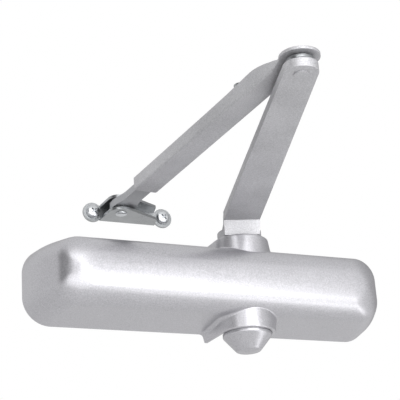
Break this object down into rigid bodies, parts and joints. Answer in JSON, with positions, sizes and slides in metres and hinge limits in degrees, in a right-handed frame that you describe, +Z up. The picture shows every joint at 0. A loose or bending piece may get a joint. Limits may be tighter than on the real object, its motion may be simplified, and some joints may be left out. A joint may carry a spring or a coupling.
{
  "type": "door closer",
  "caption": "Surface-mounted hydraulic door closer with a full cover and a jointed double-lever arm that pulls a door shut under damping.",
  "frame": {"origin": "middle of the housing's flat back, where it lies on the door", "axes": "+X along the cover to its right end seen from the room, +Y into the door, +Z up along the pinion"},
  "size_m": [0.311, 0.3222, 0.1363],
  "materials": {
    "cover_paint": "satin aluminium lacquer",
    "arm_paint": "satin aluminium lacquer",
    "rod_plate": "dull zinc plate",
    "zinc_plate": "bright blue-white zinc plate",
    "cast_metal": "as cast, satin",
    "turned_steel": "turned and ground",
    "spring_steel": "oiled spring steel",
    "bearing_bronze": "turned bronze",
    "black_rubber": "matt"
  },
  "bodies": {
    "housing": {"cover": "cover_paint", "body_housing": "cast_metal", "left_end_cap": "turned_steel", "right_end_cap": "turned_steel", "end_cap_rings": "black_rubber", "upper_bearing": "bearing_bronze", "lower_bearing": "bearing_bronze", "upper_packing_nut": "turned_steel", "lower_packing_nut": "turned_steel", "pinion_seals": "black_rubber", "pinion_cap": "cover_paint", "cover_clips": "spring_steel", "clip_screws": "zinc_plate", "closing_spring": "spring_steel"},
    "pinion_and_main_arm": {"pinion": "turned_steel", "main_arm": "arm_paint", "arm_washer": "zinc_plate", "arm_screw": "zinc_plate", "elbow_pin": "arm_paint", "elbow_bush": "arm_paint"},
    "piston": {"rack_piston": "turned_steel", "piston_rings": "black_rubber", "check_plug": "bearing_bronze"},
    "check_ball": {"check_ball": "turned_steel"},
    "spring_seat": {"spring_seat": "turned_steel"},
    "power_screw": {"power_screw": "zinc_plate"},
    "sweep_valve": {"sweep_valve": "bearing_bronze", "sweep_valve_ring": "black_rubber"},
    "latch_valve": {"latch_valve": "bearing_bronze", "latch_valve_ring": "black_rubber"},
    "backcheck_valve": {"backcheck_valve": "bearing_bronze", "backcheck_valve_ring": "black_rubber"},
    "forearm": {"forearm": "arm_paint", "clamp_block": "arm_paint"},
    "clamp_screw": {"clamp_screw": "zinc_plate"},
    "adjusting_rod": {"adjusting_rod": "rod_plate"},
    "shoe": {"shoe": "zinc_plate", "shoe_washers": "zinc_plate", "shoe_rivet": "zinc_plate", "shoe_screws": "zinc_plate"}
  },
  "joints": [
    {"name": "pinion_turn", "type": "hinge", "parent": "housing", "child": "pinion_and_main_arm", "pos_m": [0.0243, -0.031, 0], "axis": [0, 0, -1], "range_deg": [0, 170], "stiffness_Nm_per_rad": 4, "springref_deg": -68.75},
    {"name": "piston_slide", "type": "slide", "parent": "housing", "child": "piston", "axis": [-1, 0, 0], "range_m": [0, 0.0268], "deforming": ["closing_spring"]},
    {"name": "check_ball_lift", "type": "slide", "parent": "piston", "child": "check_ball", "axis": [-1, 0, 0], "range_m": [0, 0.0008]},
    {"name": "power_screw_turn", "type": "hinge", "parent": "housing", "child": "power_screw", "pos_m": [-0.118, -0.031, 0], "axis": [1, 0, 0], "range_deg": [0, 3600]},
    {"name": "spring_seat_slide", "type": "slide", "parent": "housing", "child": "spring_seat", "axis": [1, 0, 0], "range_m": [0, 0.01]},
    {"name": "sweep_valve_turn", "type": "hinge", "parent": "housing", "child": "sweep_valve", "pos_m": [0.08, -0.0085, -0.02], "axis": [0, 0, 1], "range_deg": [-180, 540]},
    {"name": "latch_valve_turn", "type": "hinge", "parent": "housing", "child": "latch_valve", "pos_m": [0.062, -0.0085, -0.02], "axis": [0, 0, 1], "range_deg": [-180, 540]},
    {"name": "backcheck_valve_turn", "type": "hinge", "parent": "housing", "child": "backcheck_valve", "pos_m": [-0.03, -0.0085, -0.02], "axis": [0, 0, 1], "range_deg": [-180, 540]},
    {"name": "elbow", "type": "hinge", "parent": "pinion_and_main_arm", "child": "forearm", "pos_m": [-0.05569, -0.29933, 0.0641], "axis": [0, 0, 1], "range_deg": [-4, 150]},
    {"name": "clamp_screw_turn", "type": "hinge", "parent": "forearm", "child": "clamp_screw", "pos_m": [-0.06092, -0.22401, 0.06352], "axis": [-0.0006, 0.0077, 1], "range_deg": [0, 360]},
    {"name": "rod_slide", "type": "slide", "parent": "forearm", "child": "adjusting_rod", "axis": [-0.0732, 0.9973, -0.0077], "range_m": [-0.012, 0.02]},
    {"name": "shoe_pivot", "type": "hinge", "parent": "adjusting_rod", "child": "shoe", "pos_m": [-0.0762, -0.0199, 0.0675], "axis": [0, 0, 1], "range_deg": [-75, 75]}
  ],
  "couplings": [
    {"joint": "piston_slide", "follows": "pinion_turn", "m_per_rad": 0.009},
    {"joint": "power_screw_turn", "follows": "spring_seat_slide", "rad_per_m": 6283.1}
  ]
}
